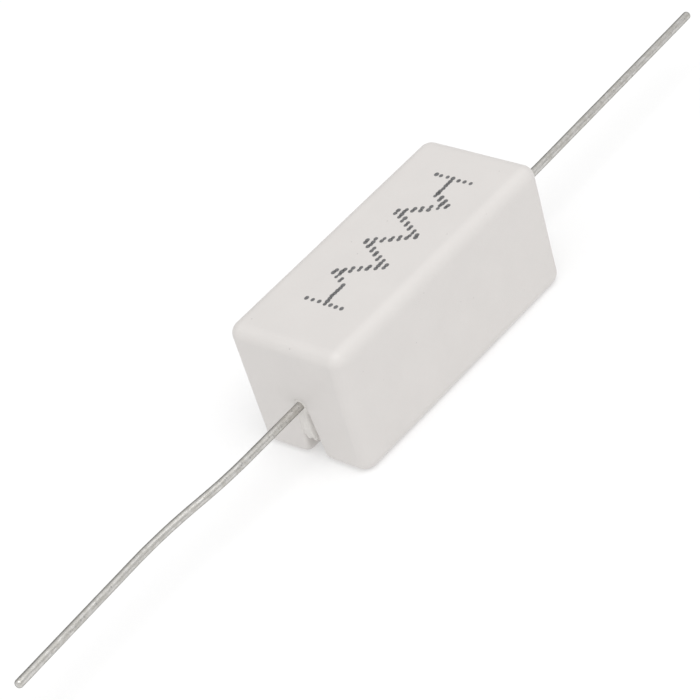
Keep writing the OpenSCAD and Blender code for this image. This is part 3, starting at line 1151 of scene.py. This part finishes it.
class RESISTOR_OT_leads(Operator):
    """Draws the two tinned leads from their welds to their cut tips"""
    bl_idname = "resistor.leads"
    bl_label = "Tinned leads"

    def execute(self, context):
        scene = context.scene
        case, slot, leads = scene.resistor_case, scene.resistor_slot, scene.resistor_leads
        material = metal_material(
            "Tinned copper wire", leads.colour, roughness=(0.27, 0.43),
            line_width=0.06 * MM, dullness=0.65, edge_tint=0.2)
        yaw = element_yaw(case, slot)
        near = lead_steps(leads, leads.near_lengths, leads.near_bends, leads.near_reach, case)
        far = lead_steps(leads, [leads.far_length], [leads.far_bend], leads.far_reach, case)
        for name, node, side, heading, steps in (
            ("near_lead", "lead_left", -1, math.pi + yaw, near),
            ("far_lead", "lead_right", 1, yaw, far),
        ):
            start = element_point(case, slot, side * CAP_HIGH.x)
            points, headings = walk_wire(start, heading, steps, leads.ring_step)
            vertices, faces = wire_mesh(points, headings, leads)
            piece = make_piece(name, vertices, faces, material)
            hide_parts(node)
        return {"FINISHED"}


class RESISTOR_OT_ink(Operator):
    """Prints the plain zigzag of ink dots on the closed top"""
    bl_idname = "resistor.ink"
    bl_label = "Ink dots"

    def execute(self, context):
        noise.seed_set(NOISE_SEED)
        ink = context.scene.resistor_ink
        vertices, faces, way_out = ink_mesh(bpy.data.objects["case_shell"], ink)
        piece = make_piece("ink_dots", vertices, faces, ink_material(ink.colour))
        attribute = piece.data.attributes.new("way_out", "FLOAT", "POINT")
        attribute.data.foreach_set("value", way_out)
        return {"FINISHED"}


class RESISTOR_OT_inner(Operator):
    """Finishes the wound rod, its wire and its end caps, which the cement hides"""
    bl_idname = "resistor.inner"
    bl_label = "Wound rod"

    def execute(self, context):
        inner = context.scene.resistor_inner
        wire = metal_material(
            "Resistance alloy", inner.wire_colour, roughness=(0.35, 0.51),
            line_width=0.03 * MM, dullness=0.3, edge_tint=0.8)
        cap = metal_material(
            "Plated cap steel", inner.cap_colour, roughness=(0.28, 0.44),
            line_width=0.06 * MM, dullness=0.15, edge_tint=0.9)
        finishes = {
            "core_rod": ceramic_material("Rod ceramic", inner.rod_colour, speck_share=0.03),
            "resistance_wire": wire,
            "end_cap_left": cap,
            "end_cap_right": cap,
        }
        for name, material in finishes.items():
            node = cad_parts[name]
            if not node.material_slots:
                raise RuntimeError(f"{name} has no material slot")
            for place in node.material_slots:
                place.material = material
        return {"FINISHED"}


class RESISTOR_OT_stage(Operator):
    """Sets the floor, the soft light and the camera"""
    bl_idname = "resistor.stage"
    bl_label = "Floor, light and camera"

    def execute(self, context):
        scene, stage = context.scene, context.scene.resistor_stage
        scene.view_settings.view_transform = "Standard"
        make_floor(stage)
        make_light(stage)
        make_sky(scene, stage)
        scene.camera = make_camera(stage)
        return {"FINISHED"}


def make_floor(stage):
    """A plain pale floor, lit through like a light table. It can't be seen from below."""
    mesh = bpy.data.meshes.new("floor")
    half = stage.floor_size / 2
    corners = [(-half, -half, 0), (half, -half, 0), (half, half, 0), (-half, half, 0)]
    mesh.from_pydata(corners, [], [(0, 1, 2, 3)])
    floor = bpy.data.objects.new("floor", mesh)
    bpy.context.scene.collection.objects.link(floor)
    material, tree, shader = new_material(
        "Pale floor", Base_Color=shade([stage.floor_tone] * 3), Roughness=0.9,
        Specular_IOR_Level=0.1, Emission_Color=shade((1, 1, 1)),
        Emission_Strength=stage.floor_glow)[:3]
    backfacing = add_node(tree, "ShaderNodeNewGeometry", "Seen from below").outputs["Backfacing"]
    clear = add_node(tree, "ShaderNodeBsdfTransparent", "Open from below")
    either = add_node(tree, "ShaderNodeMixShader", "Floor or nothing", {
        0: backfacing, 1: shader.outputs[0], 2: clear.outputs[0]})
    tree.links.new(either.outputs[0], tree.nodes["Material Output"].inputs["Surface"])
    mesh.materials.append(material)


def make_light(stage):
    """One large soft light above the near side."""
    lamp = bpy.data.lights.new("soft_light", "AREA")
    lamp.shape = "DISK"
    lamp.size = stage.key_size
    lamp.energy = stage.key_power
    light = bpy.data.objects.new("soft_light", lamp)
    bpy.context.scene.collection.objects.link(light)
    direction = Vector(stage.key_direction).normalized()
    light.location = Vector(stage.look_at) + direction * stage.key_distance
    light.rotation_euler = direction.to_track_quat("Z", "Y").to_euler()


def make_sky(scene, stage):
    """White light from all round, which fades to the far side and has one dark wall there."""
    world = bpy.data.worlds.new("studio_light")
    world.use_nodes = True
    tree = world.node_tree
    direction = tree.nodes.new("ShaderNodeTexCoord").outputs["Generated"]
    facing = add_node(tree, "ShaderNodeVectorMath", "Towards the bright side", {
        0: direction, 1: stage.sky_direction}, operation="DOT_PRODUCT").outputs["Value"]
    strength = remap(
        tree, "Dark to bright", facing, -1.0, 1.0, stage.sky_low, stage.sky_high)
    wall_start, wall_full = stage.dark_edge
    turned = add_node(tree, "ShaderNodeVectorMath", "Towards the dark wall", {
        0: direction, 1: stage.dark_direction}, operation="DOT_PRODUCT").outputs["Value"]
    wall = remap(tree, "Dark wall", turned, wall_start, wall_full, 1.0, stage.dark_level)
    strength = calculate(tree, "Light past the wall", "MULTIPLY", strength, wall)
    background = tree.nodes["Background"]
    background.inputs["Color"].default_value = (1, 1, 1, 1)
    tree.links.new(strength, background.inputs["Strength"])
    scene.world = world


def make_camera(stage):
    """A long lens from above the near side, turned about its own axis as the photograph is."""
    lens = bpy.data.cameras.new("camera")
    lens.lens = stage.lens
    lens.sensor_width = stage.film_width
    lens.clip_start = 10 * MM
    camera = bpy.data.objects.new("camera", lens)
    bpy.context.scene.collection.objects.link(camera)
    level = math.cos(stage.tilt)
    forward = Vector((
        level * math.cos(stage.heading), level * math.sin(stage.heading), -math.sin(stage.tilt)))
    right = forward.cross(Vector((0, 0, 1))).normalized()
    right.rotate(Matrix.Rotation(-stage.roll, 3, forward))
    axes = Matrix((right, right.cross(forward), -forward)).transposed().to_4x4()
    camera.matrix_world = Matrix.Translation(
        Vector(stage.look_at) - forward * stage.distance) @ axes
    return camera


class RESISTOR_PT_pieces(Panel):
    """Lists the pieces of the resistor in the order in which they are made"""
    bl_label = "Ceramic power resistor"
    bl_idname = "RESISTOR_PT_pieces"
    bl_space_type = "VIEW_3D"
    bl_region_type = "UI"
    bl_category = "Resistor"

    def draw(self, context):
        for operator in OPERATORS:
            self.layout.operator(operator.bl_idname)


SETTINGS = {
    "resistor_case": CaseSettings,
    "resistor_slot": SlotSettings,
    "resistor_cement": CementSettings,
    "resistor_leads": LeadSettings,
    "resistor_ink": InkSettings,
    "resistor_inner": InnerSettings,
    "resistor_stage": StageSettings,
}
OPERATORS = (
    RESISTOR_OT_case,
    RESISTOR_OT_cement,
    RESISTOR_OT_leads,
    RESISTOR_OT_ink,
    RESISTOR_OT_inner,
    RESISTOR_OT_stage,
)


def register():
    for name, settings in SETTINGS.items():
        bpy.utils.register_class(settings)
        setattr(bpy.types.Scene, name, PointerProperty(type=settings))
    for operator in OPERATORS:
        bpy.utils.register_class(operator)
    bpy.utils.register_class(RESISTOR_PT_pieces)


def unregister():
    bpy.utils.unregister_class(RESISTOR_PT_pieces)
    for operator in reversed(OPERATORS):
        bpy.utils.unregister_class(operator)
    for name, settings in reversed(SETTINGS.items()):
        delattr(bpy.types.Scene, name)
        bpy.utils.unregister_class(settings)


def main():
    register()
    bpy.ops.resistor.case()
    bpy.ops.resistor.cement()
    bpy.ops.resistor.leads()
    bpy.ops.resistor.ink()
    bpy.ops.resistor.inner()
    bpy.ops.resistor.stage()


if __name__ == "__main__":
    main()
